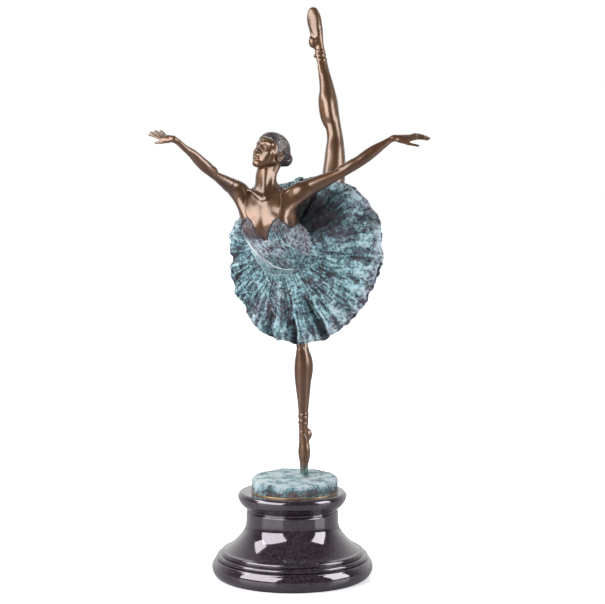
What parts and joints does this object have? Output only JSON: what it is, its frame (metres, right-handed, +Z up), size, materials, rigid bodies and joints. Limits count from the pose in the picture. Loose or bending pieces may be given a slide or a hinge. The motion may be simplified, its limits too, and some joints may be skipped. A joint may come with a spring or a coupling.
{
  "type": "bronze dancer statuette",
  "caption": "Bronze ballet dancer in arabesque on pointe, with a pleated verdigris skirt, on a turned black marble base.",
  "frame": {"origin": "centre of the felt face that the statuette rests on", "axes": "+Z up through the marble base, -Y towards the front, +X towards the dancer's outstretched left hand"},
  "size_m": [0.258, 0.1585, 0.5377],
  "materials": {
    "bronze": "brown patinated bronze, waxed and glossy",
    "verdigris": "rough turquoise verdigris over dark purple-brown bronze",
    "marble": "polished black-brown marble with fine speckle",
    "steel": "plain zinc-plated fixings",
    "felt": "dark felt"
  },
  "bodies": {
    "root": {"base_foot": "marble", "base_body": "marble", "base_cap": "marble", "felt_pad": "felt", "tie_rod": "steel", "rod_washer": "steel", "rod_nut": "steel", "ground_disc": "verdigris", "foot_pin": "steel", "standing_hip_pin": "steel", "raised_hip_pin": "steel", "neck_pin": "steel", "right_shoulder_pin": "steel", "left_shoulder_pin": "steel", "waist_sleeve": "bronze", "standing_leg": "bronze", "raised_leg": "bronze", "hips": "bronze", "torso": "bronze", "head": "bronze", "right_arm": "bronze", "left_arm": "bronze", "skirt": "verdigris"}
  },
  "joints": []
}
